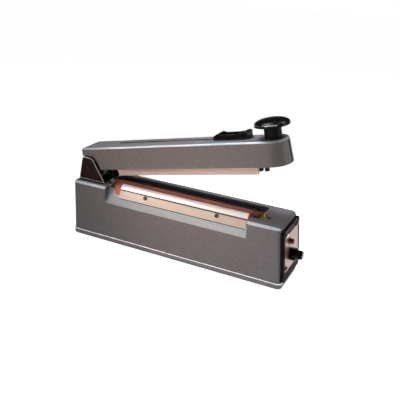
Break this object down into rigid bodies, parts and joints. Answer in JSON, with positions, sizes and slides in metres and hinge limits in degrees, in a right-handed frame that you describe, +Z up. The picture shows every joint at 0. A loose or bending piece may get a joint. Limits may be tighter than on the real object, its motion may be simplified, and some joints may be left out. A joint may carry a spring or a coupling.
{
  "type": "impulse sealer",
  "caption": "Hand impulse sealer: cast base with a heated sealing platform and timer knob, and a sprung press arm with seal bar, round press knob and sliding film cutter.",
  "frame": {"origin": "on the table, under the middle of the machine's box", "axes": "+X from the hinge to the timer end, +Z up, -Y towards the side with the cloth clamp"},
  "size_m": [0.3373, 0.068, 0.2096],
  "materials": {
    "cast_paint": "hammered grey paint on a casting",
    "pan_paint": "grey paint",
    "black_rubber": "matt",
    "plated_steel": "zinc plated",
    "black_moulding": "matt",
    "panel_foil": "satin",
    "red_lens": "clear red",
    "grey_moulding": "matt",
    "circuit_board": "lacquered",
    "core_iron": "varnished",
    "coil_wrap": "taped",
    "platform_aluminium": "milled",
    "glass_tape": "woven",
    "ribbon_alloy": "rolled",
    "brown_cloth": "coated glass cloth",
    "clamp_aluminium": "satin anodised",
    "brass": "satin",
    "bronze": "satin",
    "plum_steel": "dark brown plated",
    "spring_steel": "drawn wire",
    "black_gloss": "polished",
    "bar_aluminium": "satin anodised",
    "seal_silicone": "matt",
    "blade_steel": "ground",
    "knob_foil": "spun"
  },
  "bodies": {
    "base": {"base_housing": "cast_paint", "bottom_pan": "pan_paint", "rubber_feet": "black_rubber", "pan_screws": "plated_steel", "panel_screws": "plated_steel", "strap_screws": "plated_steel", "bracket_rivets": "plated_steel", "board_screws": "plated_steel", "platform_screws": "plated_steel", "hinge_screws": "plated_steel", "timer_nut": "plated_steel", "transformer_strap": "plated_steel", "switch_bracket": "plated_steel", "clamp_screws": "plated_steel", "lamp_bezel": "plated_steel", "end_cap": "black_moulding", "cord_gland": "black_moulding", "gland_nut": "black_moulding", "micro_switch": "black_moulding", "platform_board": "black_moulding", "cutter_guide": "black_moulding", "panel_plate": "panel_foil", "lamp_lens": "red_lens", "potentiometer": "grey_moulding", "board_posts": "grey_moulding", "timer_board": "circuit_board", "transformer_core": "core_iron", "transformer_coil": "coil_wrap", "platform_bar": "platform_aluminium", "insulating_tape": "glass_tape", "heating_ribbon": "ribbon_alloy", "cover_cloth": "brown_cloth", "cloth_clamp": "clamp_aluminium", "rear_terminal": "brass", "terminal_screws": "brass", "front_terminal": "bronze", "hinge_bracket": "plum_steel", "hinge_pin": "plum_steel", "return_spring": "spring_steel"},
    "arm": {"arm_shell": "cast_paint", "hinge_bushes": "bronze", "press_knob": "black_gloss", "knob_stud": "plated_steel", "knob_nut": "plated_steel", "seal_bar": "bar_aluminium", "seal_rubber": "seal_silicone", "bar_screws": "plated_steel", "switch_post": "black_moulding"},
    "cutter": {"cutter_slide": "black_gloss", "blade_holder": "black_moulding", "cutter_blade": "blade_steel", "slide_screws": "plated_steel"},
    "timer": {"timer_knob": "black_gloss", "timer_knob_cap": "knob_foil", "timer_shaft": "plated_steel"},
    "plunger": {"switch_plunger": "brass"}
  },
  "joints": [
    {"name": "arm_hinge", "type": "hinge", "parent": "base", "child": "arm", "pos_m": [-0.14356, 0, 0.1048], "axis": [0, 1, 0], "range_deg": [0, 11.85], "stiffness_Nm_per_rad": 4, "springref_deg": -17.19, "deforming": ["return_spring"]},
    {"name": "cutter_travel", "type": "slide", "parent": "arm", "child": "cutter", "axis": [0.9787, 0, 0.2053], "range_m": [-0.1595, 0.0065]},
    {"name": "timer_turn", "type": "hinge", "parent": "base", "child": "timer", "pos_m": [0.14739, -0.0045, 0.04061], "axis": [0.9963, 0, 0.0861], "range_deg": [-135, 135]},
    {"name": "plunger_press", "type": "slide", "parent": "base", "child": "plunger", "axis": [0, 0, -1], "range_m": [0, 0.0015], "stiffness_N_per_m": 500, "springref_m": -0.003}
  ]
}
